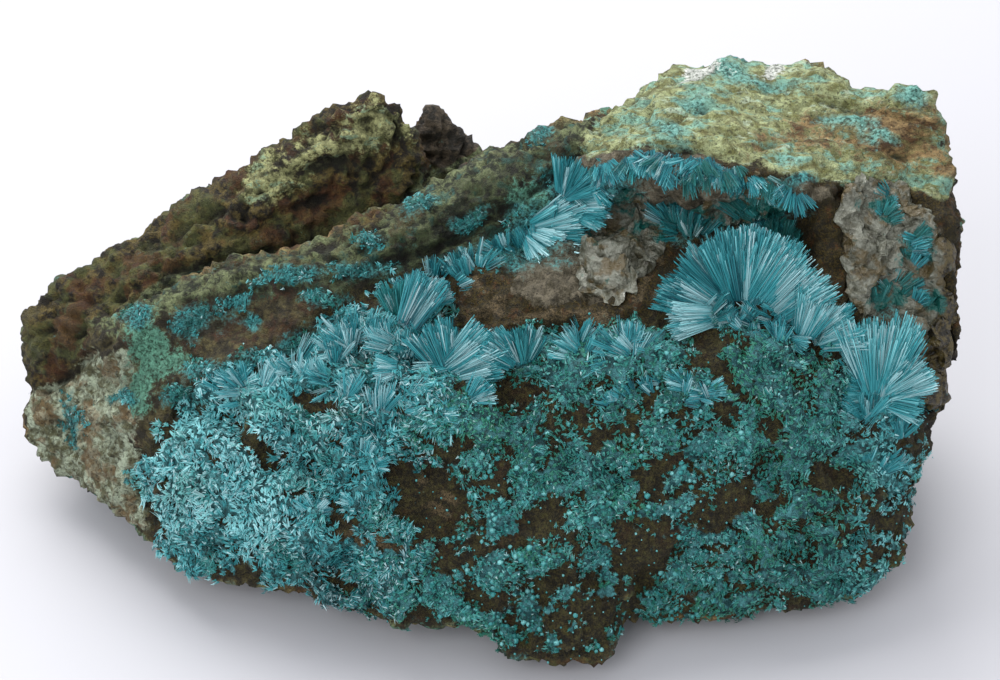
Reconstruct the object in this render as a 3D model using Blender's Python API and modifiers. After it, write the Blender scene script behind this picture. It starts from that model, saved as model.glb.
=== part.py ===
"""Tyrolite on matrix: a hand specimen of copper-stained rock whose front face carries a
crust and radiating fans of tyrolite crystals, with grey quartz showing between them.

Sizes are in millimetres until MM turns them into Blender's metres. +X runs along the
specimen, -Y is the crystal face, +Z is up. The origin is in the flat of the underside.
"""

import math
import random

import bmesh
import bpy
from mathutils import Matrix, Vector, noise
from mathutils.bvhtree import BVHTree

MM = 0.001
SEED = 11
GAP = 0.3  # clearance between neighbouring solids
FLATNESS = math.radians(5)  # facets closer than this to level are made one

# ---- host rock ---------------------------------------------------------------------
REST_Z = 0.0  # the broken-off flat that the specimen rests on
VOXEL = 0.7  # the grain of the rock before it is thinned to facets
ROCK_FACES = 3400
SMOOTHING_PASSES = 5
LUMP_SIZE, LUMP_HEIGHT = 8.0, 0.75  # broad swells of the rock
LEDGE_SIZE, LEDGE_HEIGHT = 3.4, 0.6  # broken ledges and pits
CALM = 0.4  # what is left of that relief under the crust
SEAT = 0.7  # how far the rock lies back there, to make room for it

# Each lobe is the convex block around its corner points (x, y, z).
LOBES = {
    "front_block": [
        # lower edge, overhanging the table
        (-28.7, 0.3, 3.0), (-25.0, -2.4, 2.8), (-20.9, -8.6, 2.7), (-12.4, -12.1, 2.9),
        (-3.5, -14.6, 2.9), (12.8, -11.8, 3.4), (19.0, -10.9, 3.4), (23.4, -11.4, 2.0),
        (26.2, -9.8, 3.4),
        # belly of the crystal face
        (-19.4, -8.0, 6.6), (-10.9, -11.4, 8.2), (-2.9, -12.6, 8.6), (12.4, -12.0, 8.8),
        (21.9, -10.8, 7.1), (26.0, -9.0, 5.8), (-28.5, 0.8, 6.0), (-23.4, -3.4, 10.2),
        (-15.2, -7.2, 12.8), (-5.9, -8.8, 13.8), (3.8, -9.0, 14.2), (13.7, -8.4, 13.8),
        (22.5, -7.4, 12.0), (27.2, -6.6, 8.0), (-15.0, -3.6, 15.6), (-6.0, -4.6, 17.4),
        (3.9, -5.0, 18.2), (12.4, -4.8, 18.4), (21.5, -4.0, 17.0),
        # shoulder
        (-22.4, 0.2, 13.8), (-15.0, 0.4, 17.0), (-8.0, 0.4, 18.4), (3.9, 1.0, 20.0),
        (12.4, 1.2, 20.6), (21.4, 1.6, 19.4), (28.0, 0.8, 17.0), (28.3, -2.2, 13.2),
        # heel, behind and below
        (-27.0, 9.0, 3.0), (-18.0, 14.0, 0.5), (0.0, 16.5, -1.0), (18.0, 16.0, 0.0),
        (27.0, 9.0, 2.0), (-24.0, 9.0, 10.0), (-8.0, 16.0, 12.0), (6.0, 16.5, 18.0),
        (19.0, 16.5, 20.0), (27.0, 12.0, 18.0), (-18.0, -2.0, -1.0), (0.0, -7.0, -1.5),
        (18.0, -6.0, -1.0),
    ],
    "lower_knob": [
        (-1.6, -14.6, 3.0), (0.6, -16.2, 2.0), (3.9, -16.9, 1.4), (7.2, -16.3, 2.0),
        (7.9, -14.7, 4.0), (7.3, -14.2, 6.4), (2.6, -14.4, 9.0), (-1.6, -13.7, 6.4),
        (-3.0, -8.0, 4.0), (9.0, -8.0, 5.0), (3.0, -8.0, 13.0), (2.6, -11.0, 0.9),
    ],
    "left_low_tip": [
        (-32.4, 1.2, 5.8), (-30.8, 0.6, 3.7), (-28.8, 0.2, 2.5), (-29.4, 1.8, 8.0),
        (-24.0, -1.0, 4.0), (-23.0, 1.0, 10.0), (-26.0, 8.0, 3.0), (-27.5, 7.0, 8.0),
    ],
    "top_slab": [
        # lip over the hollow
        (5.8, 4.4, 25.2), (8.8, 3.4, 26.7), (12.4, 2.6, 27.0), (16.2, 2.2, 26.2),
        (18.6, 2.0, 25.0), (21.8, 1.8, 23.0), (25.2, 2.2, 21.5), (28.2, 3.0, 20.0),
        # underside of the lip
        (6.0, 6.0, 22.0), (12.4, 3.6, 24.2), (18.6, 3.2, 22.6), (27.6, 4.0, 17.0),
        # back rim
        (6.6, 9.0, 25.2), (9.2, 10.5, 26.2), (12.4, 13.0, 26.8), (15.7, 14.5, 26.9),
        (18.8, 14.2, 26.4), (21.4, 13.0, 25.9), (24.0, 12.4, 25.2), (27.4, 9.0, 24.6),
        (8.0, 16.0, 18.0), (16.0, 17.5, 16.0), (24.0, 15.0, 17.0),
    ],
    "right_wall": [
        (19.6, 1.8, 24.2), (25.0, 1.8, 21.8), (28.0, 2.4, 19.8), (21.5, -4.2, 16.8),
        (27.4, -1.4, 15.6), (18.8, -1.4, 20.2), (20.0, 6.0, 18.0), (27.0, 6.0, 15.0),
    ],
    "right_knob": [
        (24.2, 11.8, 26.4), (25.9, 11.2, 27.4), (28.2, 10.2, 27.2), (28.7, 8.0, 25.7),
        (27.6, 7.0, 24.2), (24.8, 8.6, 25.6), (24.4, 11.0, 21.0), (28.0, 9.0, 20.0),
    ],
    "right_tip": [
        (30.4, 5.2, 24.2), (28.4, 7.0, 24.4), (28.8, 4.4, 22.9), (26.0, 4.0, 23.6),
        (27.0, 7.0, 21.0), (29.4, 5.6, 22.2),
    ],
    "right_shoulder": [
        (28.6, 4.0, 22.4), (28.4, 6.0, 22.4), (29.3, 1.6, 20.2), (29.5, 1.0, 19.0),
        (28.3, 1.0, 17.0), (28.5, 6.0, 16.0), (26.0, 3.0, 22.6), (25.0, 4.0, 17.0),
        (28.9, -2.0, 13.3), (28.0, -2.8, 11.6), (25.0, 0.0, 11.0),
    ],
    "rear_ridge_low": [
        (-31.0, 6.0, 10.6), (-31.5, 5.5, 9.0), (-30.8, 4.2, 7.6), (-29.8, 3.4, 7.2),
        (-28.9, 7.8, 13.2), (-25.4, 8.5, 15.0), (-21.4, 9.8, 16.6), (-26.2, 2.8, 11.8),
        (-20.9, 4.8, 15.8), (-19.0, 11.0, 18.2), (-28.5, 11.0, 6.0), (-20.0, 16.0, 8.0),
        (-18.0, 6.0, 14.0), (-25.0, 4.0, 6.0),
    ],
    "rear_ridge_high": [
        (-21.4, 9.8, 16.4), (-18.7, 11.0, 18.6), (-14.8, 12.0, 20.9), (-10.8, 12.5, 23.1),
        (-7.6, 12.6, 24.3), (-5.6, 13.0, 23.0), (-4.8, 13.0, 19.8), (-4.9, 11.4, 18.6),
        (-15.9, 7.2, 15.4), (-9.5, 9.2, 15.0), (-6.0, 10.8, 16.6), (-20.9, 5.2, 15.0),
        (-9.0, 16.0, 21.0), (-7.0, 16.5, 12.0), (-18.0, 16.0, 12.0),
    ],
    "rear_peak": [
        (-6.5, 17.0, 17.8), (-5.5, 17.5, 19.3), (-4.1, 18.0, 20.9), (-2.6, 18.0, 18.8),
        (-1.2, 17.4, 16.6), (1.0, 16.0, 14.0), (-8.0, 17.0, 12.0), (-3.0, 14.0, 14.0),
        (-4.4, 15.6, 18.8), (-3.0, 18.5, 6.0),
    ],
}

# The rounded ridge across the specimen: (x, y, z, radius) along its middle line.
RIDGE = [
    (-24.5, 1.4, 12.6, 1.4), (-22.4, 1.2, 14.2, 1.7), (-15.6, 2.4, 16.6, 2.1),
    (-9.9, 3.0, 17.4, 2.5), (-4.2, 5.5, 19.2, 3.0), (1.5, 7.0, 20.4, 3.3), (5.9, 8.0, 21.8, 3.2),
]

# ---- places on the crystal face ----------------------------------------------------
# The face leans back, so its places are given as (x, v): x along the specimen and v up
# the slope, with the third axis running into the rock.
FACE_LEAN = math.radians(40)
FACE_UP = Vector((0, math.sin(FACE_LEAN), math.cos(FACE_LEAN)))
FACE_IN = Vector((0, math.cos(FACE_LEAN), -math.sin(FACE_LEAN)))

# ---- quartz: each grey mass is one or more blocks, outlined on the face -------------
QUARTZ = {
    "quartz_hollow": [
        [(6.5, 18.8), (7.2, 20.9), (10.1, 21.7), (13.8, 21.4), (17.2, 20.8), (18.8, 19.6),
         (15.6, 18.9), (12.8, 18.3), (10.3, 17.6)],
        [(6.5, 19.6), (10.0, 19.2), (10.8, 17.6), (8.9, 15.9), (7.5, 13.5), (4.7, 14.2),
         (5.2, 16.4)],
    ],
    "quartz_wall": [
        [(21.6, 20.4), (24.6, 21.0), (26.7, 18.9), (28.1, 16.0), (25.5, 13.6), (23.2, 12.2),
         (22.0, 13.5), (22.4, 16.6)],
        [(24.8, 14.6), (27.6, 16.0), (28.6, 12.3), (28.0, 7.3), (26.3, 7.3), (25.4, 11.1)],
    ],
}
QUARTZ_DEPTH = 2.4
QUARTZ_PROUD = 0.1

# ---- tyrolite crusts ---------------------------------------------------------------
# Spacing and radius of the lumps, outline on the face, and the rock left bare inside it.
CRUSTS = {
    "tyrolite_crust": {
        "faces": 2650,
        "spacing": 1.75,
        "radius": (1.2, 1.75),
        "outline": [
            (-26.0, 6.6), (-24.0, 4.4), (-20.6, 1.2), (-18.4, -1.8), (-13.0, -4.7),
            (-4.5, -6.4), (-1.0, -7.4), (1.6, -7.6), (6.0, -7.6), (6.4, -4.8), (12.7, -4.0),
            (19.0, -3.6), (24.0, -3.8), (24.6, -0.3), (26.0, 2.7), (26.2, 6.3), (25.1, 6.9),
            (21.9, 8.4), (21.2, 10.5), (18.7, 11.4), (15.3, 12.5), (11.9, 12.2), (6.4, 12.6),
            (3.0, 11.7), (2.7, 9.8), (-1.6, 9.4), (-3.5, 11.6), (-2.6, 13.6), (-5.1, 14.2),
            (-7.9, 12.3), (-12.2, 10.2), (-16.0, 10.5), (-19.3, 9.8), (-21.9, 8.3),
        ],
        "bare": [  # (x, v, radius)
            (0.9, 7.6, 1.8), (-4.1, 0.6, 2.0), (-6.0, 3.0, 1.1), (12.6, 5.2, 1.1),
            (8.6, 7.6, 1.0), (-12.2, 3.0, 0.9), (16.3, 2.4, 1.3), (22.8, 2.8, 1.2),
            (6.2, -3.2, 1.1), (12.0, -1.9, 1.2), (-9.1, -2.6, 1.0), (2.0, -5.5, 1.0),
            (19.8, -1.8, 1.1), (5.1, 3.1, 0.9), (-17.0, 6.4, 1.0),
        ],
    },
    "tyrolite_lip_crust": {
        "faces": 220,
        "spacing": 1.0,
        "radius": (0.85, 1.2),
        "outline": [
            (4.8, 21.4), (6.6, 22.0), (9.5, 22.2), (12.5, 21.8), (15.6, 21.0), (18.0, 20.2),
            (18.6, 19.2), (16.4, 19.4), (14.5, 20.0), (12.0, 20.5), (8.9, 20.9), (7.1, 20.8),
            (5.8, 20.2),
        ],
        "bare": [],
    },
}
CRUST_VOXEL = 0.38
CRUST_CLEARANCE = 0.45  # more than the gap, as thinning moves the crust's back
LUMP_RISE = 0.6
HUB_RADIUS = 0.65

# ---- tyrolite fans -----------------------------------------------------------------
# Each fan is a stack of pleated sheaves: (x, v) of the root, the blades' reach, the first
# and last angle from straight up the face, the number of blades, and their lift off it.
FANS = {
    "fan_large": [
        (15.2, 13.5, 5.3, -44, 32, 10, 6), (15.5, 13.4, 5.1, 35, 76, 6, 18),
        (14.7, 13.2, 4.8, -116, -46, 8, 18), (17.2, 12.5, 4.4, 66, 108, 5, 24),
    ],
    "fan_step": [(19.9, 11.0, 3.2, 10, 84, 7, 20)],
    "fan_right": [
        (23.9, 7.8, 4.6, -36, 40, 8, 8), (24.1, 7.6, 3.4, 47, 122, 6, 20),
        (23.7, 7.6, 3.0, -116, -43, 5, 20),
    ],
    "fan_left": [
        (-3.4, 9.6, 4.2, -84, -20, 6, 20), (-2.9, 9.6, 4.0, 12, 74, 6, 28),
        (-3.6, 11.4, 3.4, -36, 50, 6, 12),
    ],
    "fan_middle": [(1.6, 10.0, 2.7, -52, 38, 7, 28)],
    "fan_hollow": [
        (2.7, 18.0, 3.6, 44, 104, 6, 24), (1.9, 17.6, 2.9, 112, 164, 4, 30),
        (4.3, 19.8, 2.8, -8, 88, 6, 30),
    ],
}
BLADE_THICKNESS = 0.4
PLEAT = 0.1  # the height of a pleat, as a share of the blade's reach
ROOT_RISE = 0.7

# ---- colours: base colour, roughness -----------------------------------------------
FINISHES = {
    "rock": ((0.105, 0.098, 0.052, 1), 0.85),
    "quartz": ((0.30, 0.28, 0.24, 1), 0.25),
    "crust": ((0.055, 0.235, 0.225, 1), 0.5),
    "fan": ((0.085, 0.33, 0.35, 1), 0.35),
}


def clear_scene():
    for thing in list(bpy.data.objects):
        bpy.data.objects.remove(thing)


def hull_block(points):
    """A bmesh holding the convex block around points in millimetres."""
    block = bmesh.new()
    for point in points:
        block.verts.new(Vector(point) * MM)
    result = bmesh.ops.convex_hull(block, input=block.verts)
    spare = [v for v in result["geom_interior"] + result["geom_unused"] if v.is_valid]
    bmesh.ops.delete(block, geom=list(set(spare)), context="VERTS")
    bmesh.ops.recalc_face_normals(block, faces=block.faces)
    return block


def ball_points(x, y, z, radius, subdivisions=2):
    """Corners of a coarse ball, as (x, y, z) in millimetres."""
    ball = bmesh.new()
    bmesh.ops.create_icosphere(ball, subdivisions=subdivisions, radius=radius)
    corners = [tuple(v.co + Vector((x, y, z))) for v in ball.verts]
    ball.free()
    return corners


def joined(shapes):
    """One bmesh holding all the shapes, which are freed."""
    whole = bmesh.new()
    for shape in shapes:
        mesh = bpy.data.meshes.new("piece")
        shape.to_mesh(mesh)
        whole.from_mesh(mesh)
        bpy.data.meshes.remove(mesh)
        shape.free()
    return whole


def new_object(name, shape, collection):
    """A new object from a bmesh, which is freed."""
    mesh = bpy.data.meshes.new(name)
    shape.to_mesh(mesh)
    shape.free()
    made = bpy.data.objects.new(name, mesh)
    collection.objects.link(made)
    return made


def apply_modifiers(thing):
    """Replaces the object's mesh with its evaluated one and clears its modifiers."""
    bpy.context.view_layer.update()
    evaluated = thing.evaluated_get(bpy.context.evaluated_depsgraph_get())
    mesh = bpy.data.meshes.new_from_object(evaluated)
    thing.modifiers.clear()
    thing.data = mesh


def remesh(thing, voxel):
    modifier = thing.modifiers.new("grain", "REMESH")
    modifier.mode = "VOXEL"
    modifier.voxel_size = voxel * MM


def soften(thing, passes, factor=0.5):
    modifier = thing.modifiers.new("soften", "SMOOTH")
    modifier.iterations = passes
    modifier.factor = factor


def thin_out(thing, faces):
    """Collapses the mesh to about this many triangles."""
    triangulate = thing.modifiers.new("triangles", "TRIANGULATE")
    triangulate.quad_method = "BEAUTY"
    apply_modifiers(thing)
    modifier = thing.modifiers.new("facets", "DECIMATE")
    modifier.ratio = min(1.0, faces / len(thing.data.polygons))
    apply_modifiers(thing)


def merge_flats(thing):
    """Joins facets that are nearly level with each other, as a cut leaves many of."""
    modifier = thing.modifiers.new("flats", "DECIMATE")
    modifier.decimate_type = "DISSOLVE"
    modifier.angle_limit = FLATNESS
    thing.modifiers.new("triangles", "TRIANGULATE")
    apply_modifiers(thing)


def boolean(thing, cutter, operation):
    modifier = thing.modifiers.new(operation.lower(), "BOOLEAN")
    modifier.object = cutter
    modifier.operation = operation
    modifier.solver = "EXACT"
    apply_modifiers(thing)


def inflated(name, source, distance, collection):
    """A copy of a solid grown outwards by a distance in millimetres, for use as a cutter."""
    copy = bpy.data.objects.new(name, source.data.copy())
    collection.objects.link(copy)
    normals = [v.normal.copy() for v in copy.data.vertices]
    for vertex, normal in zip(copy.data.vertices, normals):
        vertex.co += normal * distance * MM
    return copy


def keep_largest_island(thing):
    """Drops every loose chip but the main body."""
    shape = bmesh.new()
    shape.from_mesh(thing.data)
    unseen = set(shape.verts)
    islands = []
    while unseen:
        front = [unseen.pop()]
        island = set(front)
        while front:
            for edge in front.pop().link_edges:
                for vertex in edge.verts:
                    if vertex in unseen:
                        unseen.discard(vertex)
                        island.add(vertex)
                        front.append(vertex)
        islands.append(island)
    islands.sort(key=len)
    for island in islands[:-1]:
        bmesh.ops.delete(shape, geom=list(island), context="VERTS")
    shape.to_mesh(thing.data)
    shape.free()


def cliff_noise(place, size):
    """Stepped noise from -1 to 1: flat treads with steep risers between them."""
    value = noise.noise(place / size) * 1.6
    return math.tanh(5.0 * (value - round(value * 2.0) / 2.0)) * 0.35 + value * 0.65


def roughen(thing):
    """Gives a smooth block the swells, ledges and pits of broken rock."""
    offset = Vector((SEED, SEED * 0.7, SEED * 1.9))
    covered = CRUSTS["tyrolite_crust"]["outline"]
    normals = [v.normal.copy() for v in thing.data.vertices]
    for vertex, normal in zip(thing.data.vertices, normals):
        place = vertex.co / MM + offset
        swell = noise.noise(place / LUMP_SIZE) * LUMP_HEIGHT
        ledge = cliff_noise(place, LEDGE_SIZE) * LEDGE_HEIGHT
        at = vertex.co / MM
        seat = 0.0
        if normal.dot(FACE_IN) < 0 and inside_outline(at.x, at.dot(FACE_UP), covered):
            ledge *= CALM
            seat = SEAT
        vertex.co += normal * (swell + ledge - seat) * MM


def build_rock(collection, cutters):
    blocks = [hull_block(points) for points in LOBES.values()]
    for start, end in zip(RIDGE, RIDGE[1:]):
        blocks.append(hull_block(ball_points(*start) + ball_points(*end)))
    rock = new_object("matrix", joined(blocks), collection)
    remesh(rock, VOXEL)
    soften(rock, SMOOTHING_PASSES)
    apply_modifiers(rock)
    roughen(rock)
    thin_out(rock, ROCK_FACES)
    floor = bmesh.new()
    bmesh.ops.create_cube(floor, size=200 * MM)
    bmesh.ops.translate(floor, verts=floor.verts, vec=(0, 0, (REST_Z - 100) * MM))
    boolean(rock, new_object("below_rest", floor, cutters), "DIFFERENCE")
    keep_largest_island(rock)
    return rock


def face_point(x, v, depth=0.0):
    """The place x along, v up the slope and depth into the rock, in millimetres."""
    return Vector((x, 0, 0)) + FACE_UP * v + FACE_IN * depth


def tree_of(thing):
    shape = bmesh.new()
    shape.from_mesh(thing.data)
    tree = BVHTree.FromBMesh(shape)
    shape.free()
    return tree


def surface_at(tree, x, v):
    """Where a line into the face at (x, v) meets the rock, with the rock's direction there."""
    place, normal, _, _ = tree.ray_cast(face_point(x, v, -100) * MM, FACE_IN)
    return place, normal


def inside_outline(x, v, outline):
    crossings = 0
    for (ax, av), (bx, bv) in zip(outline, outline[1:] + outline[:1]):
        if (av > v) != (bv > v) and x < ax + (v - av) * (bx - ax) / (bv - av):
            crossings += 1
    return crossings % 2 == 1


def build_quartz(name, rock, skin, rooms, collection, cutters):
    """Cuts a pocket in the rock and fills it, all but the gap, with a quartz mass."""
    tree = tree_of(rock)
    blocks = []
    for outline in QUARTZ[name]:
        corners = []
        for x, v in outline:
            place, _ = surface_at(tree, x, v)
            corners.append(tuple(place / MM - FACE_IN * 4))
            corners.append(tuple(place / MM + FACE_IN * QUARTZ_DEPTH))
        blocks.append(new_object(name, hull_block(corners), cutters if blocks else collection))
    for block in blocks:
        boolean(rock, inflated(name + "_pocket", block, GAP, cutters), "DIFFERENCE")
    quartz = blocks[0]
    for block in blocks[1:]:
        boolean(quartz, block, "UNION")
    boolean(quartz, skin, "INTERSECT")
    for room in rooms:
        boolean(quartz, room, "DIFFERENCE")
    keep_largest_island(quartz)
    return quartz


def room_around(wedges, clearance, cutters):
    """One closed body that holds all the wedges, each grown by the clearance."""
    shapes = []
    for wedge in wedges:
        grown = inflated("grown", wedge, clearance, cutters)
        shape = bmesh.new()
        shape.from_mesh(grown.data)
        shapes.append(shape)
    room = new_object("fan_room", joined(shapes), cutters)
    remesh(room, CRUST_VOXEL)
    apply_modifiers(room)
    return room


def lump(centre, normal, radius, chance):
    """A flattened lump of crystals with flat facets, lying on the surface."""
    points = []
    for _ in range(11):
        around = chance.uniform(0, math.tau)
        rise = chance.uniform(-1, 1)
        out = math.sqrt(1 - rise * rise)
        points.append(Vector((out * math.cos(around), out * math.sin(around), rise * 0.6)) * radius)
    turn = normal.to_track_quat("Z", "Y").to_matrix()
    return hull_block([tuple(turn @ point + centre / MM) for point in points])


def build_crust(name, tree, clearances, collection):
    """A grown-together sheet of lumps over the face, open where the rock is bare."""
    plan = CRUSTS[name]
    outline = plan["outline"]
    spacing = plan["spacing"]
    chance = random.Random(name)
    lumps = []
    xs, vs = zip(*outline)
    rows = math.ceil((max(vs) - min(vs)) / (spacing * 0.87)) + 1
    columns = math.ceil((max(xs) - min(xs)) / spacing) + 1
    for row in range(rows):
        for column in range(columns):
            x = min(xs) + (column + row % 2 / 2) * spacing + chance.uniform(-0.3, 0.3)
            v = min(vs) + row * spacing * 0.87 + chance.uniform(-0.3, 0.3)
            if not inside_outline(x, v, outline):
                continue
            if any(math.hypot(x - ax, v - av) < radius for ax, av, radius in plan["bare"]):
                continue
            place, normal = surface_at(tree, x, v)
            if place:
                place += normal * LUMP_RISE * MM
                lumps.append(lump(place, normal, chance.uniform(*plan["radius"]), chance))
    crust = new_object(name, joined(lumps), collection)
    remesh(crust, CRUST_VOXEL)
    apply_modifiers(crust)
    for cutter in clearances:
        boolean(crust, cutter, "DIFFERENCE")
    remesh(crust, CRUST_VOXEL)
    apply_modifiers(crust)
    keep_largest_island(crust)
    thin_out(crust, plan["faces"])
    return crust


def sheaf(reach, first, last, blades, chance):
    """A closed pleated fan around +Y, each pleat one tapering blade with its own length."""
    angles = [math.radians(first + (last - first) * i / (2 * blades)) for i in range(2 * blades + 1)]
    half = BLADE_THICKNESS / 2
    fan = bmesh.new()
    roots = [fan.verts.new(Vector((0, 0, side * half)) * MM) for side in (1, -1)]
    rims = ([], [])
    lengths = [reach * chance.uniform(0.8, 1.0) for _ in range(blades)]
    for i, angle in enumerate(angles):
        crest = i % 2 == 1
        near = lengths[min(i // 2, blades - 1)]
        beside = lengths[max(i // 2 - 1, 0)]
        length = near if crest else min(near, beside) * 0.88
        rise = reach * PLEAT * (0.5 if crest else -0.5)
        for rim, side in zip(rims, (1, -1)):
            tip = Vector((math.sin(angle) * length, math.cos(angle) * length, rise + side * half))
            rim.append(fan.verts.new(tip * MM))
    for i in range(2 * blades):
        fan.faces.new((roots[0], rims[0][i], rims[0][i + 1]))
        fan.faces.new((roots[1], rims[1][i + 1], rims[1][i]))
        fan.faces.new((rims[0][i], rims[1][i], rims[1][i + 1], rims[0][i + 1]))
    fan.faces.new((roots[0], roots[1], rims[1][0], rims[0][0]))
    fan.faces.new((roots[1], roots[0], rims[0][-1], rims[1][-1]))
    bmesh.ops.triangulate(fan, faces=fan.faces)
    bmesh.ops.recalc_face_normals(fan, faces=fan.faces)
    return fan


def build_fan(name, tree, collection, cutters):
    """Unites the sheaves and roots of one fan; returns the convex wedges that they fill."""
    chance = random.Random(name)
    frame = Matrix((Vector((1, 0, 0)), FACE_UP, -FACE_IN)).transposed().to_4x4()
    made = []
    roots = []
    wedges = []
    for x, v, reach, first, last, blades, lift in FANS[name]:
        place, normal = surface_at(tree, x, v)
        place += normal * ROOT_RISE * MM
        roots += ball_points(*(place / MM), HUB_RADIUS, 1)
        fan = sheaf(reach, first, last, blades, chance)
        middle = math.radians((first + last) / 2)
        hinge = Vector((math.cos(middle), -math.sin(middle), 0))
        tilt = Matrix.Rotation(math.radians(lift), 4, hinge)
        bmesh.ops.transform(fan, matrix=Matrix.Translation(place) @ frame @ tilt, verts=fan.verts)
        envelope = hull_block([tuple(vertex.co / MM) for vertex in fan.verts])
        wedges.append(new_object(name + "_wedge", envelope, cutters))
        made.append(new_object(name + "_sheaf", fan, cutters))
    whole = new_object(name, hull_block(roots), collection)
    wedges.append(new_object(name + "_hub", hull_block(roots), cutters))
    for fan in made:
        boolean(whole, fan, "UNION")
    keep_largest_island(whole)
    merge_flats(whole)
    return whole, wedges


def finish(thing, look):
    colour, roughness = FINISHES[look]
    material = bpy.data.materials.new(thing.name)
    material.use_nodes = True
    shader = material.node_tree.nodes["Principled BSDF"]
    shader.inputs["Base Color"].default_value = colour
    shader.inputs["Roughness"].default_value = roughness
    shader.inputs["Metallic"].default_value = 0.0
    thing.data.materials.clear()
    thing.data.materials.append(material)


def main():
    clear_scene()
    specimen = bpy.data.collections.new("tyrolite_specimen")
    cutters = bpy.data.collections.new("cutters")
    for collection in (specimen, cutters):
        bpy.context.scene.collection.children.link(collection)
    rock = build_rock(specimen, cutters)
    proud_skin = inflated("proud_skin", rock, QUARTZ_PROUD, cutters)
    crust_skin = inflated("crust_skin", rock, CRUST_CLEARANCE, cutters)
    face = tree_of(rock)
    wedges = []
    for name in FANS:
        fan, filled = build_fan(name, face, specimen, cutters)
        finish(fan, "fan")
        wedges += filled
    near = [inflated("near_room", wedge, GAP, cutters) for wedge in wedges]
    fan_room = room_around(wedges, CRUST_CLEARANCE, cutters)
    for name in CRUSTS:
        finish(build_crust(name, face, [crust_skin, fan_room], specimen), "crust")
    for name in QUARTZ:
        finish(build_quartz(name, rock, proud_skin, near, specimen, cutters), "quartz")
    for room in near:
        boolean(rock, room, "DIFFERENCE")
    keep_largest_island(rock)
    finish(rock, "rock")
    for cutter in cutters.objects:
        cutter.hide_render = True
        cutter.display_type = "WIRE"


main()
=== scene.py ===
"""The looks of a tyrolite specimen: rock relief, grey quartz, the flaky crust and the fans.

Lengths are in millimetres until MM turns them into Blender's metres. Places marked as pixels
are in the reference view's 1000 x 680 frame, and each is carried onto the rock along that
view's line of sight.
"""

import math

import bmesh
import bpy
import numpy as np
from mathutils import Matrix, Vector
from mathutils.bvhtree import BVHTree


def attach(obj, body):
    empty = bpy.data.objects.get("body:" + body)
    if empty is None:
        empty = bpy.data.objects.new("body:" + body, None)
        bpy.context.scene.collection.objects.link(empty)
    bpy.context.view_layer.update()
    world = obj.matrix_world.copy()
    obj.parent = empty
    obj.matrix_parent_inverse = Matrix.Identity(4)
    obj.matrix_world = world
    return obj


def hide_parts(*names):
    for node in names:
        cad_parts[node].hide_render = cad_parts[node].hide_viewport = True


MM = 0.001
TINY = 1e-9  # keeps a division from being by nothing
SENSOR = 36  # a camera's width in millimetres
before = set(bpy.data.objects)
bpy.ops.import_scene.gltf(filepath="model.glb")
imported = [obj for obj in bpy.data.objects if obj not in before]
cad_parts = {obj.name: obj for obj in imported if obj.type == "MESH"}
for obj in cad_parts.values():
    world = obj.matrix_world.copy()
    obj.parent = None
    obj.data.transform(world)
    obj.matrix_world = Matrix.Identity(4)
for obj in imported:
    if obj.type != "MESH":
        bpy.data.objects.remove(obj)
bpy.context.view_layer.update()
chance = np.random.default_rng(7)

# ---- the reference view -------------------------------------------------------------
TILT = math.radians(40)
FORWARD = np.array([0, math.cos(TILT), -math.sin(TILT)])
UP = np.array([0, math.sin(TILT), math.cos(TILT)])
RIGHT = np.array([1.0, 0, 0])
DISTANCE = 200
EYE = np.array([0.2, 0, 14.45]) - DISTANCE * FORWARD
FOCAL = 3158  # pixels
PIXEL = DISTANCE / FOCAL  # the size of a pixel at the specimen
WIDTH, HEIGHT = 1000, 680

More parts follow.
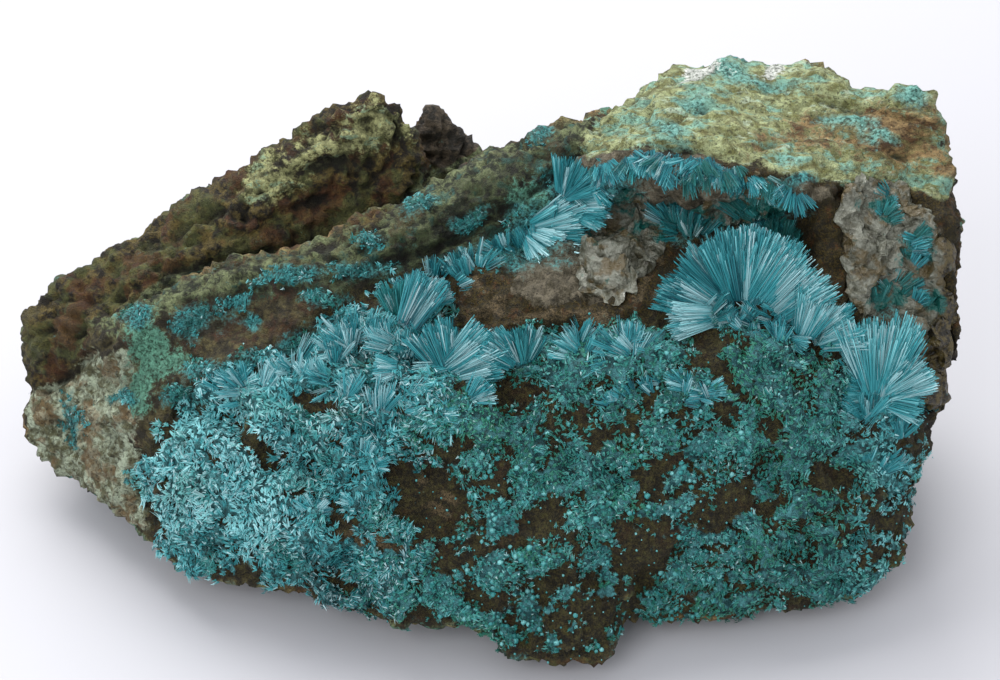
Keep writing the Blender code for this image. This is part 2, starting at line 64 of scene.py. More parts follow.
# ---- regions of the face, as outlines in pixels --------------------------------------
OUTLINES = {  # the width of the soft edge, the share inside it and the corners
    "rear": (14, 1, """
        25,345 35,305 60,270 110,245 170,210 210,175 270,140 330,105 375,90 410,100 428,118 424,180
        385,215 345,235 270,248 165,270 100,322 75,365 45,392 25,378
    """),
    # the rear lobe's own khaki top, painted lighter for the light falling on it
    "khaki_and_painted_light": (50, 0.8, """
        238,195 262,165 300,135 345,105 385,100 415,122 408,150 370,152 330,165 290,192 262,210
    """),
    "peak": (8, 1, "400,120 415,95 440,92 470,130 475,155 440,170 424,150"),
    "ridge": (40, 1, """
        95,325 165,270 270,248 345,238 385,218 430,165 455,135 530,118 595,105 650,75 640,118 600,128
        565,158 540,195 500,240 455,262 400,272 335,284 265,286 200,296 150,326 120,345
    """),
    # painted shade: the ridge's dark lower side
    "shade": (50, 0.9, """
        180,300 260,275 345,262 420,235 450,200 505,165 560,150 600,140 585,170 555,215 510,250 455,275
        400,290 340,292 270,296 200,312
    """),
    "slab": (24, 1, """
        570,160 590,115 640,80 690,55 740,40 790,46 830,65 870,75 905,65 955,85 955,130 945,148 985,168
        965,198 900,190 845,190 800,182 760,168 700,153 640,148 590,163
    """),
    "rust": (60, 0.8, """
        745,140 800,118 860,104 930,92 948,108 946,140 975,172 930,182 880,168 830,150 790,152 752,156
    """),
    "tip": (20, 1, """
        15,430 40,388 75,372 115,352 150,372 138,430 142,500 140,535 100,505 50,478 25,460
    """),
    "hollow": (14, 1, """
        455,330 448,285 500,262 570,175 640,152 700,157 760,172 800,186 850,186 900,182 965,205 975,260
        955,320 945,400 905,350 850,330 800,300 740,262 690,262 660,318 600,322 520,328
    """),
    "crust": (16, 1, """
        140,455 165,415 200,388 240,366 285,342 325,308 366,284 410,272 450,262 452,292 470,332 520,330
        600,320 660,312 690,300 750,300 820,318 880,330 925,345 945,380 940,420 925,500 905,570 878,618
        800,618 700,628 645,636 622,646 612,668 560,680 505,670 470,650 438,632 370,620 300,608 238,592
        175,572 140,535 128,480
    """),
    "grey": (12, 1, """
        556,175 600,155 660,158 700,164 760,178 820,192 838,205 790,208 745,218 700,230 672,240 640,262
        618,302 572,304 535,308 512,290 520,262 552,248 560,210
    """),
    "grey_wall": (24, 1, """
        845,188 895,182 930,215 950,255 955,320 940,405 915,400 905,345 870,325 850,300 858,250
    """),
    "edge": (10, 1, "928,195 985,185 985,430 900,430 918,345 940,310 945,250"),
}
# Each spot is across, down, the radii along and across it, and its turn in degrees.
OPEN_CRUST = "480,545,60,70,20 560,610,90,60,0 680,500,50,110,10 620,560,60,50,0 430,490,40,50,0"
SPOTS = {
    "bare": """
        512,392,36,19,-8 430,500,44,40,0 400,470,22,20,0 262,455,24,12,20 300,398,16,9,10
        700,340,28,17,30 720,372,24,14,20 545,520,34,26,0 640,560,26,34,0 555,580,30,16,0
        590,610,30,18,0 500,600,26,14,0 740,500,30,20,-20 700,520,18,20,0 835,480,28,16,20
        880,520,26,14,30 860,400,12,18,0 905,450,9,10,0 775,505,20,12,0 650,470,16,22,0
        500,470,10,26,10 345,525,18,9,20 210,460,9,6,0 290,520,12,8,0 160,440,12,8,0 335,440,12,10,0
        395,410,14,7,10 355,380,10,7,0 700,592,18,6,0 800,560,22,8,10 860,565,16,8,0 600,440,10,8,0
        222,392,18,8,30 180,380,16,8,60 420,440,10,8,0 770,430,12,18,0 245,562,26,5,8 330,578,30,5,5
        450,560,22,18,0 620,530,12,12,0 370,539,32,6,6
    """,
    # tan and pinkish grey bits
    "gravel": """
        492,302,14,9,-30 470,282,6,9,0 540,318,20,6,-10 592,316,22,6,0 370,539,34,7,6 424,480,9,7,0
        436,512,12,5,20 538,552,9,6,0 652,262,5,22,10 664,296,6,12,0 448,498,7,5,0 640,290,5,9,0
    """,
    # copper stain on the rock beyond the crust
    "stain": """
        195,320,24,13,-20 230,300,14,8,0 290,275,30,7,-8 70,420,7,24,10 140,318,16,8,0
        425,205,16,10,-30 372,238,12,8,0 470,215,14,8,-30 545,133,8,6,0 612,190,24,16,0
        540,235,40,26,-20 680,222,34,16,0 765,210,32,14,0 560,190,20,26,0 330,296,20,6,0 250,320,12,6,0
        360,268,26,8,0 880,205,16,8,0 918,248,15,13,-30 888,300,14,12,-30 935,302,12,8,0 800,182,12,6,0
        500,250,22,12,-10 890,218,8,6,0 345,330,30,12,0 300,338,22,8,-20 210,372,26,9,-10
        262,358,22,8,0 178,400,16,10,0 400,300,20,12,-30 120,400,14,6,0
    """,
    "slab_stain": """
        722,68,22,8,0 755,82,36,8,8 690,98,16,8,0 852,125,22,8,15 915,92,16,10,0 660,128,22,6,10
        780,158,16,6,10 880,140,14,5,0
    """,
    "malachite": "152,352,24,36,-10 142,392,12,18,0 530,205,26,18,-35",
    "bulge": "212,182,44,22,-38 505,150,40,20,-20",
    "dent": "962,300,22,70,0 945,450,22,90,8",
    # whitish spots on the slab's top: its pale colour with a painted highlight
    "pale_and_highlight_spot": "702,68,20,8,-10 772,70,18,4,0",
}
CREASES = [  # path, width in pixels and depth
    ("375,262 430,252 480,228 520,200 550,180 575,152", 9, 0.7),
    ("590,132 630,124 670,122 705,108", 6, 0.35), ("560,128 600,112 650,92 690,74", 7, 0.4),
    ("570,156 610,148 650,144 700,150 760,166", 8, 0.35), ("455,175 500,155 545,148", 6, 0.3),
    ("300,262 350,258 400,240", 6, 0.3), ("165,272 230,262 290,250 345,240 385,218 418,185", 9, 0.6),
    ("120,262 170,240 215,215 240,190", 7, 0.35), ("60,300 120,300 165,275", 7, 0.3),
    ("235,215 262,190 300,170 345,160", 9, 0.5), ("262,222 300,205 350,195", 7, 0.4),
    ("300,150 340,128 380,118", 6, 0.3), ("365,190 392,160 402,120", 8, 0.5),
    ("755,150 800,135 860,140 905,160", 6, 0.3), ("820,100 870,112 940,128", 5, 0.3),
    ("840,188 846,230 856,270 850,310", 7, 0.4), ("45,392 75,372 110,340", 9, 0.5),
]


def srgb(red, green, blue):
    """A colour in Blender's linear values from 0 to 255 screen values."""
    shares = np.array([red, green, blue]) / 255
    linear = np.where(shares > 0.04045, ((shares + 0.055) / 1.055) ** 2.4, shares / 12.92)
    return (*linear.tolist(), 1)


# ---- noise over arrays of points -----------------------------------------------------
FAR = 9.0  # grain sizes, more than any distance to the nearest grain


def hashed(cells, seed):
    """A number from 0 to 1 for each whole-number cell, by primes that scatter its bits."""
    mixed = cells[..., 0] * 73856093 ^ cells[..., 1] * 19349663 ^ cells[..., 2] * 83492791
    mixed = (mixed ^ (seed * 668265263)) * 1274126177
    mixed = (mixed ^ (mixed >> 15)) * 374761393
    return ((mixed ^ (mixed >> 13)) & 0xFFFFFF) / 0xFFFFFF


def swell(points, size, seed):
    """Smooth noise from -1 to 1 with lumps of that size."""
    grid = points / size
    low = np.floor(grid).astype(np.int64)
    part = grid - low
    part = part * part * (3 - 2 * part)
    total = np.zeros(len(points))
    for corner in np.ndindex(2, 2, 2):
        share = np.prod(np.where(corner, part, 1 - part), axis=1)
        total += share * hashed(low + corner, seed)
    return 2 * total - 1


def rough(points, size, seed, octaves=3):
    """Swells of that size with finer ones on them."""
    total = np.zeros(len(points))
    for octave in range(octaves):
        total += swell(points, size / 2**octave, seed + octave) / 2**octave
    return total


def own_values(cells, seed):
    """Three numbers from 0 to 1 for each cell."""
    return np.stack([hashed(cells, seed + k) for k in range(3)], axis=1)


def grains_round(points, size, seed):
    """For each cell round the points: the cell, and the way there from its grain's middle."""
    grid = points / size
    low = np.floor(grid).astype(np.int64)
    for step in np.ndindex(3, 3, 3):
        cell = low + step - 1
        yield cell, grid - (cell + own_values(cell, seed))


def grains(points, size, seed):
    """Distance to the nearest grain's middle and to the next one's, in grain sizes."""
    nearest = np.full(len(points), FAR)
    second = np.full(len(points), FAR)
    for _, away in grains_round(points, size, seed):
        distance = np.linalg.norm(away, axis=1)
        second = np.minimum(second, np.maximum(nearest, distance))
        nearest = np.minimum(nearest, distance)
    return nearest, second


def facets(points, size, seed):
    """Heights of flat facets of that size, each tilted its own way."""
    nearest = np.full(len(points), FAR)
    height = np.zeros(len(points))
    for cell, away in grains_round(points, size, seed):
        tilt = own_values(cell, seed + 3) - 0.5
        distance = np.linalg.norm(away, axis=1)
        height = np.where(distance < nearest, 2 * np.sum(tilt * away, axis=1), height)
        nearest = np.minimum(nearest, distance)
    return height


def ramp(values, low, high):
    """0 below low, 1 above high and smooth between."""
    share = np.clip((values - low) / (high - low), 0, 1)
    return share * share * (3 - 2 * share)


# ---- places in the reference view ----------------------------------------------------
def rows_of(text):
    """Rows of numbers from a text such as 25,345 35,305."""
    return np.array([row.split(",") for row in text.split()], float)


def to_pixels(points):
    """Where points in millimetres lie in the reference view."""
    away = points - EYE
    depth = away @ FORWARD
    return np.stack(
        [WIDTH / 2 + FOCAL * away[:, 0] / depth, HEIGHT / 2 - FOCAL * (away @ UP) / depth], axis=1
    )


def off_path(places, corners):
    """How far places are from the lines that join the corners."""
    nearest = np.full(len(places), np.inf)
    for a, b in zip(corners[:-1], corners[1:]):
        along = np.clip((places - a) @ (b - a) / ((b - a) @ (b - a)), 0, 1)[:, None]
        nearest = np.minimum(nearest, np.linalg.norm(places - a - along * (b - a), axis=1))
    return nearest


def within(places, outline, soft):
    """1 inside the outline, 0 outside it, over a soft edge that many pixels wide."""
    corners = rows_of(outline)
    corners = np.vstack([corners, corners[:1]])
    across, down = places.T
    inner = np.zeros(len(places), bool)
    for (a, low), (b, high) in zip(corners[:-1], corners[1:]):
        spans = (low > down) != (high > down)
        inner ^= spans & (across < a + (down - low) / (high - low or TINY) * (b - a))
    gap = off_path(places, corners)
    return np.clip(0.5 + np.where(inner, gap, -gap) / soft, 0, 1)


def groove(places, path, width):
    """1 along a path of pixels, falling to 0 that many pixels away."""
    return ramp(-off_path(places, rows_of(path)), -width, 0)


def near_spots(places, spots):
    """1 in the middle of a spot, 0.5 at its edge and 0 well outside."""
    share = np.zeros(len(places))
    for across, down, along, wide, turn in rows_of(spots):
        angle = math.radians(turn)
        dx, dy = places[:, 0] - across, places[:, 1] - down
        u = (dx * math.cos(angle) + dy * math.sin(angle)) / along
        v = (dy * math.cos(angle) - dx * math.sin(angle)) / wide
        share = np.maximum(share, np.clip(1 - 0.5 * np.hypot(u, v), 0, 1))
    return share


# ---- meshes --------------------------------------------------------------------------
def new_piece(name, points, faces):
    """A new flat-shaded object from arrays of points in millimetres and of faces."""
    mesh = bpy.data.meshes.new(name)
    sides = faces.shape[1]
    mesh.vertices.add(len(points))
    mesh.vertices.foreach_set("co", (points * MM).astype(np.float32).ravel())
    mesh.loops.add(faces.size)
    mesh.loops.foreach_set("vertex_index", faces.astype(np.int32).ravel())
    mesh.polygons.add(len(faces))
    mesh.polygons.foreach_set("loop_start", np.arange(0, faces.size, sides, dtype=np.int32))
    mesh.polygons.foreach_set("use_smooth", np.zeros(len(faces), bool))
    mesh.update(calc_edges=True)
    made = bpy.data.objects.new(name, mesh)
    bpy.context.scene.collection.objects.link(made)
    return made


def numbers_of(items, name, kind=np.float32):
    """Three numbers of each item of a mesh, as the rows of an array."""
    flat = np.empty(len(items) * 3, kind)
    items.foreach_get(name, flat)
    return flat.reshape(-1, 3)


def points_of(mesh):
    return numbers_of(mesh.vertices, "co").astype(float) / MM


def normals_of(mesh):
    return numbers_of(mesh.vertex_normals, "vector").astype(float)


def triangles_of(mesh):
    mesh.calc_loop_triangles()
    return numbers_of(mesh.loop_triangles, "vertices", np.int32)


def set_points(mesh, points):
    mesh.vertices.foreach_set("co", (points * MM).astype(np.float32).ravel())
    mesh.update()


def reshape(thing, kind, **settings):
    """Applies one modifier to thing."""
    modifier = thing.modifiers.new(kind, kind)
    for name, value in settings.items():
        setattr(modifier, name, value)
    bpy.context.view_layer.update()
    mesh = bpy.data.meshes.new_from_object(
        thing.evaluated_get(bpy.context.evaluated_depsgraph_get())
    )
    thing.modifiers.clear()
    thing.data = mesh


def remesh(thing, voxel):
    reshape(thing, "REMESH", mode="VOXEL", voxel_size=voxel * MM, use_smooth_shade=True)


def swell_out(thing, distance):
    reshape(thing, "DISPLACE", strength=distance * MM, mid_level=0)


def from_nodes(name, nodes):
    """One object holding copies of these frame nodes' meshes."""
    points, faces, count = [], [], 0
    for node in nodes:
        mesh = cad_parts[node].data
        places = points_of(mesh)
        points.append(places)
        faces.append(triangles_of(mesh) + count)
        count += len(places)
    return new_piece(name, np.concatenate(points), np.concatenate(faces))


def dress(thing, look, smooth):
    """Gives thing one material, and smooth or flat shading."""
    thing.data.materials.clear()
    thing.data.materials.append(look)
    thing.data.polygons.foreach_set("use_smooth", np.full(len(thing.data.polygons), smooth))


def mark(mesh, name, values):
    """Stores one number for each point, for a material to read."""
    layer = mesh.attributes.new(name, "FLOAT", "POINT")
    layer.data.foreach_set("value", values.astype(np.float32))


# ---- materials -----------------------------------------------------------------------
MIX_FIRST, MIX_SECOND, MIX_RESULT = 6, 7, 2  # a Mix node's sockets for colours


class Look:
    """A material, its noises by name, and short calls for the nodes that it is made of."""

    def __init__(self, name, noises, **values):
        self.material = bpy.data.materials.new(name)
        self.material.use_nodes = True
        self.tree = self.material.node_tree
        self.shader = self.tree.nodes["Principled BSDF"]
        for socket, value in values.items():
            self.shader.inputs[socket.replace("_", " ")].default_value = value
        self.place = self.add("ShaderNodeTexCoord", {}, "Object")
        self.noises = {noise: self.noise(*sizes) for noise, sizes in noises.items()}

    def put(self, value, socket):
        """Links an output, or sets a plain value."""
        if isinstance(value, bpy.types.NodeSocket):
            self.tree.links.new(value, socket)
        else:
            socket.default_value = value

    def add(self, kind, inputs, output, **settings):
        """An output of a new node with these inputs and settings."""
        node = self.tree.nodes.new(kind)
        for name, value in settings.items():
            setattr(node, name, value)
        for name, value in inputs.items():
            self.put(value, node.inputs[name])
        return node.outputs[output]

    def read(self, name):
        return self.add("ShaderNodeAttribute", {}, "Fac", attribute_name=name)

    def noise(self, size, detail, roughness=0.6, stretch=1.0):
        """Noise about 0.5 with lumps of that size in millimetres, drawn out along X by stretch."""
        scale = {0: self.place, 1: (1 / stretch, 1, 1)}
        drawn = self.add("ShaderNodeVectorMath", scale, 0, operation="MULTIPLY")
        lumps = {"Scale": 1 / (size * MM), "Detail": detail, "Roughness": roughness}
        return self.add("ShaderNodeTexNoise", {"Vector": drawn, **lumps}, "Fac")

    def grain(self, size):
        """A level from 0 to 1 that each grain of that size has to itself."""
        cells = {"Vector": self.place, "Scale": 1 / (size * MM)}
        own_colour = self.add("ShaderNodeTexVoronoi", cells, "Color")
        return self.add("ShaderNodeSeparateColor", {0: own_colour}, 0)

    def sum(self, first, second, operation="ADD"):
        return self.add("ShaderNodeMath", {0: first, 1: second}, 0, operation=operation)

    def ramp(self, value, low, high, start=0.0, end=1.0):
        ends = {"From Min": low, "From Max": high, "To Min": start, "To Max": end}
        inputs = {"Value": value, **ends}
        return self.add("ShaderNodeMapRange", inputs, "Result", interpolation_type="SMOOTHSTEP")

    def mix(self, share, first, second):
        colours = {MIX_FIRST: first, MIX_SECOND: second}
        return self.add("ShaderNodeMix", {"Factor": share, **colours}, MIX_RESULT, data_type="RGBA")

    def wash(self, colour, washes):
        """The colour with each wash laid over it."""
        for noise, low, high, start, end, tint in washes:
            share = self.ramp(self.noises[noise], low, high, start, end)
            colour = self.mix(share, colour, srgb(*tint))
        return colour

    def paint(self, layers):
        """The colour that the first layer gives, with washes of the others over it."""
        noise, low, high, dark, light = layers[0]
        base = self.mix(self.ramp(self.noises[noise], low, high), srgb(*dark), srgb(*light))
        return self.wash(base, layers[1:])

    def patch(self, name, noise, spread=2.2, soft=0.1):
        """A stored share made ragged at its edge by noise."""
        swing = self.sum(self.sum(noise, 0.5, "SUBTRACT"), spread, "MULTIPLY")
        return self.ramp(self.sum(self.read(name), swing), 0.5 - soft, 0.5 + soft)

    def bump(self, height, distance, strength=1.0):
        size = {"Strength": strength, "Distance": distance * MM}
        normal = self.add("ShaderNodeBump", {"Height": height, **size}, "Normal")
        self.put(normal, self.shader.inputs["Normal"])

    def colour(self, value):
        self.put(value, self.shader.inputs["Base Color"])
        return self.material


# The noises of the rock's paints: size in millimetres, detail, roughness and how drawn out.
ROCK_NOISES = {
    "wash": (2.6, 4, 0.6), "broad": (2.4, 4, 0.6), "blotch": (1.3, 3, 0.6),
    "streak": (0.7, 5, 0.65, 3), "cloud": (1.1, 4, 0.65, 3),
    "middle": (0.8, 4, 0.65), "speck": (0.5, 4, 0.7), "fine": (0.24, 3, 0.7),
    "grit": (0.13, 3, 0.75),
}

# Each paint starts with a noise, where it turns from dark to light, and the two screen colours.
# Each wash over that is a noise, two of its levels, how strong the wash is at each, and its screen
# colour. The regions' paints lie over one another in this order.
LIMONITE = [
    ("grit", 0.34, 0.66, (18, 14, 2), (82, 68, 22)),
    ("middle", 0.52, 0.62, 0, 0.7, (88, 54, 20)), ("fine", 0.6, 0.7, 0, 0.5, (104, 90, 52)),
    ("speck", 0.38, 0.48, 0.8, 0, (24, 20, 6)), ("broad", 0.4, 0.5, 0.7, 0, (40, 36, 14)),
]
BODY_PAINT = [
    ("middle", 0.38, 0.62, (38, 33, 18), (92, 84, 50)), ("broad", 0.5, 0.62, 0, 0.8, (74, 46, 28)),
]
ROCK_PAINTS = {
    "ridge": [
        ("middle", 0.4, 0.6, (34, 42, 26), (122, 132, 92)),
        ("broad", 0.5, 0.62, 0, 0.6, (92, 78, 48)), ("blotch", 0.56, 0.66, 0, 0.6, (62, 112, 104)),
    ],
    # painted shade on the ridge's lower side
    "shade": [
        ("middle", 0.4, 0.6, (12, 18, 8), (74, 84, 54)),
        ("blotch", 0.54, 0.62, 0, 0.7, (24, 66, 54)),
    ],
    "rear": [
        ("middle", 0.42, 0.6, (24, 18, 8), (104, 90, 46)),
        ("broad", 0.44, 0.54, 0, 0.65, (88, 94, 52)), ("wash", 0.5, 0.58, 0, 0.7, (86, 52, 26)),
    ],
    # the rear lobe's khaki top, partly its colour and partly painted light
    "khaki_and_painted_light": [
        ("middle", 0.36, 0.62, (76, 76, 42), (180, 182, 128)),
        ("streak", 0.54, 0.62, 0, 0.6, (140, 176, 148)),
    ],
    "peak": [("middle", 0.4, 0.62, (34, 30, 22), (98, 86, 70))],
    "slab": [
        ("middle", 0.34, 0.64, (116, 118, 68), (182, 192, 142)),
        ("cloud", 0.5, 0.6, 0, 0.7, (138, 200, 184)), ("streak", 0.56, 0.64, 0, 0.7, (196, 214, 186)),
        ("streak", 0.36, 0.46, 0.6, 0, (112, 104, 58)),
    ],
    "tip": [
        ("middle", 0.4, 0.6, (100, 100, 72), (186, 198, 172)),
        ("broad", 0.5, 0.58, 0, 0.6, (128, 98, 64)),
    ],
    "rust": [
        ("streak", 0.4, 0.6, (84, 58, 30), (160, 134, 90)),
        ("cloud", 0.5, 0.58, 0, 0.45, (128, 132, 80)),
    ],
    "hollow": LIMONITE,
    "grey": [("middle", 0.38, 0.6, (68, 62, 44), (118, 110, 92))],
    "edge": LIMONITE,
    "crust": [
        ("grit", 0.34, 0.66, (16, 14, 5), (76, 68, 34)), ("broad", 0.52, 0.62, 0, 0.35, (66, 34, 18)),
        ("speck", 0.5, 0.66, 0, 0.6, (84, 82, 40)), ("speck", 0.36, 0.5, 0.85, 0, (14, 12, 5)),
    ],
    "gravel": [("grit", 0.36, 0.6, (52, 44, 24), (112, 96, 68))],
    "malachite": [("fine", 0.36, 0.62, (60, 110, 88), (104, 160, 136))],
    "stain": [("fine", 0.38, 0.62, (18, 78, 80), (80, 160, 160))],
    "slab_stain": [("fine", 0.36, 0.62, (66, 128, 116), (134, 192, 180))],
    "coat": [("middle", 0.38, 0.6, (18, 72, 76), (84, 154, 158))],
}
CRACKS_AND_RECESS_SHADE = [  # over all the paints: dark between grains and in fine pits, and painted shade deep in the relief
    ("grain", 0, 1, 0.35, 0, (24, 22, 12)), ("fine", 0.32, 0.5, 0.7, 0, (26, 22, 12)),
    # painted shade: darker where the relief lies deep
    ("depth", 0.0, 1.0, 0, 0.9, (14, 13, 7)),
]


def rock_look():
    look = Look("host_rock", ROCK_NOISES, Roughness=0.72, Specular_IOR_Level=0.35)
    fine, grain = look.noises["fine"], look.grain(0.32)
    look.noises |= {"grain": grain, "depth": look.read("depth")}
    ragged = 0.0
    for name, part in (("broad", 0.35), ("middle", 0.4), ("fine", 0.25)):
        ragged = look.sum(ragged, look.sum(look.noises[name], part, "MULTIPLY"))
    colour = look.paint(BODY_PAINT)
    for region, layers in ROCK_PAINTS.items():
        soft = 0.3 if region in ("stain", "slab_stain") else 0.14
        colour = look.mix(look.patch(region, ragged, 2.6, soft), colour, look.paint(layers))
    # painted highlight on the slab's pale top, near white
    pale_and_painted_highlight = look.mix(look.ramp(fine, 0.4, 0.6), srgb(176, 184, 172), srgb(226, 228, 222))
    colour = look.mix(look.patch("pale_and_highlight_spot", ragged), colour, pale_and_painted_highlight)
    height = look.sum(look.sum(fine, look.noise(0.1, 2)), look.sum(grain, 0.35, "MULTIPLY"))
    look.bump(height, 0.24)
    return look.colour(look.wash(colour, CRACKS_AND_RECESS_SHADE))


QUARTZ_NOISES = {
    "wash": (1.6, 3, 0.6), "cloud": (0.9, 4, 0.65), "dusk": (0.6, 3, 0.6),
    "speck": (0.4, 3, 0.7), "flaw": (0.28, 3, 0.7),
}
QUARTZ_PAINT = [
    ("cloud", 0.36, 0.64, (80, 80, 64), (146, 148, 134)), ("flaw", 0.6, 0.7, 0, 0.6, (170, 168, 156)),
    ("wash", 0.5, 0.6, 0, 0.8, (96, 80, 42)), ("dusk", 0.3, 0.44, 0.8, 0, (44, 40, 24)),
]
QUARTZ_EDGE = [("speck", 0.4, 0.6, (30, 26, 12), (92, 80, 42))]


def quartz_look():
    glassy = {"Roughness": 0.4, "IOR": 1.54, "Transmission_Weight": 0.3, "Specular_IOR_Level": 0.4}
    look = Look("grey_quartz", QUARTZ_NOISES, **glassy)
    cloud = look.noises["cloud"]
    colour = look.paint(QUARTZ_PAINT)
    colour = look.mix(look.patch("edge", cloud, 2.0, 0.15), colour, look.paint(QUARTZ_EDGE))
    colour = look.mix(look.patch("stain", cloud, 2.6, 0.2), colour, srgb(22, 98, 90))
    look.bump(look.sum(cloud, look.noise(0.25, 2)), 0.3, 0.7)
    return look.colour(colour)


def crystal_look(name, deep, middle, light, roughness):
    """Crystals whose stored tone runs from deep to light, greener where stored so, and whitened by a
    painted glint where stored so.
    """
    look = Look(name, {}, Roughness=roughness, Specular_IOR_Level=0.35)
    tone = look.read("tone")
    colour = look.mix(look.ramp(tone, 0.0, 0.5), srgb(*deep), srgb(*middle))
    colour = look.mix(look.ramp(tone, 0.45, 1.0), colour, srgb(*light))
    colour = look.mix(look.read("green"), colour, srgb(46, 118, 92))
    # painted glint: crystals stored so are whitened towards a silvery white
    colour = look.mix(look.read("painted_glint"), colour, srgb(190, 222, 226))
    return look.colour(colour)


# ---- the rock ------------------------------------------------------------------------
CLOSING = 0.35  # how far the rock swells and shrinks again, to close narrow gaps
COARSE_VOXEL, FINE_VOXEL = 0.3, 0.21
QUARTZ_VOXEL, FINE_QUARTZ_VOXEL = 0.25, 0.22
LET_IN = 0.3  # how far the quartz swells into the rock round it
ROCK_FACES, QUARTZ_FACES = 158000, 9000


def facing_of(points, normals):
    """How far each point of a surface faces the reference view, from -1 to 1."""
    toward = EYE - points
    return np.sum(normals * toward, axis=1) / np.linalg.norm(toward, axis=1)


def coats(points, places, front, shares):
    """The shares of the crust's left and low parts, of its crystals and of flecks beyond it."""
    across, down = places.T
    left = 1 - ramp(across + 0.35 * (down - 400), 400, 480)
    low = np.clip(near_spots(places, OPEN_CRUST) * 2 - 0.5, 0, 1) * (1 - left)
    full = 0.28 - 0.05 * (1 - left) - 0.34 * low
    full -= 1.6 * (1 - within(places, OUTLINES["crust"][2], 60)) * front + 1.6 * (1 - front)
    holes = 0.6 * rough(points, 1.7, 91) + 0.7 * rough(points, 0.85, 95, 2)
    bare = ramp(shares["bare"] + 0.16 * rough(points, 0.7, 97), 0.4, 0.6)
    coat = ramp(full - holes, -0.06, 0.12) * (1 - bare) * ramp(shares["crust"], 0.1, 0.4)
    flecks = ramp(shares["stain"] + 0.3 * rough(points, 0.8, 99), 0.55, 0.75)
    flecks *= front * (1 - shares["crust"])
    return {"left": left, "low": low, "coat": coat, "flecks": flecks}


def regions(points, front):
    """Each region's share at the points, by its outline in front and by noise behind."""
    places = to_pixels(points)
    places += 8 * np.stack([rough(points, 2.0, 31), rough(points, 2.0, 41)], axis=1)
    ahead = {name: near_spots(places, spots) for name, spots in SPOTS.items()}
    for name, (soft, most, corners) in OUTLINES.items():
        ahead[name] = most * within(places, corners, soft)
    ahead["rear"] = np.maximum(ahead["rear"], ahead["peak"])
    ahead["grey"] = np.maximum(ahead["grey"], ahead.pop("grey_wall"))
    drift = rough(points, 5.0, 51)
    behind = {
        "ridge": 0.45 + 0.7 * drift,
        "shade": 0.3 + 0.4 * rough(points, 4.0, 55),
        "rear": 0.5 - 0.7 * drift,
        "slab": ramp(points[:, 2], 20, 26) * 0.7,
        "rust": 0.4 + 0.5 * rough(points, 3.4, 61),
        "malachite": 0.2 + 0.4 * rough(points, 3.0, 71),
        "stain": 0.08 + 0.5 * rough(points, 2.4, 81),
        "bulge": ahead["bulge"],
        "dent": ahead["dent"],
    }
    shares = {
        name: np.clip(share * front + behind.get(name, 0) * (1 - front), 0, 1)
        for name, share in ahead.items()
    }
    return shares | coats(points, places, front, shares)


def lumps(points):
    """How high the crust's lumps are, above 0 at their tops and below it between them."""
    return 0.5 - np.clip(grains(points, 1.15, 117)[0], 0, 1)


# How far each form stands out in each region, in millimetres.
RELIEF = {
    "rear": {"pits": 0.5, "folds": 0.12, "thin_folds": 0.2, "ledges": 0.25},
    "hollow": {"gravel": 0.34, "grit": 0.2},
    "slab": {"folds": 0.16, "thin_folds": 0.06, "pits": 0.12, "ledges": 0.14},
    "ridge": {"folds": 0.16, "thin_folds": 0.16, "ledges": 0.24, "pits": 0.2},
    "tip": {"thin_folds": 0.2, "pits": 0.2},
}


def forms_of(points, normals, front):
    """The height of each form at the points, from about -1 to 1."""
    block, next_block = grains(points + 0.8 * front[:, None], 2.6, 105)
    return {
        "gravel": 0.6 - np.clip(grains(points, 0.9, 101)[0], 0, 1),
        "ledges": ramp(next_block - block, 0.0, 0.16) - 1,
        "pits": -ramp(rough(points + 1.5 * normals, 1.6, 111), 0.2, 0.75),
        "folds": 1 - 2 * np.abs(swell(points * [1, 1, 0.5] + 0.6, 1.4, 121)),
        "thin_folds": 1 - 2 * np.abs(swell(points * [0.6, 1, 1], 0.7, 125)),
        "grit": rough(points, 0.7, 151),
    }


def relief_of(points, normals, front, shares):
    """The waves in the surface at each point, and how far it stands out in all."""
    forms = forms_of(points, normals, front)
    chip, next_chip = grains(points * [1, 1, 1.5], 0.8, 107)
    chipped = 0.5 - np.clip(chip, 0, 1) + 0.3 * ramp(next_chip - chip, 0.0, 0.3)
    waves = 0.12 * rough(points, 1.6, 131, 4) + 0.16 * rough(points, 0.5, 141, 2)
    waves += 0.8 * shares["bulge"] - 0.6 * shares["dent"] + 0.5 * shares["grey"]
    waves += 0.26 * chipped * (1 - shares["crust"]) * (1 - 0.8 * shares["slab"])
    for region, heights in RELIEF.items():
        waves += shares[region] * sum(height * forms[form] for form, height in heights.items())
    clumps = 0.2 * (0.6 - grains(points, 0.5, 115)[0]) + 0.55 * lumps(points)
    waves += shares["crust"] * 0.42 * forms["gravel"] + shares["coat"] * clumps
    for path, width, deep in CREASES:
        waves -= front * deep * groove(to_pixels(points), path, width)
    return waves, waves - 0.62 * shares["crust"] + 0.5 * shares["coat"]


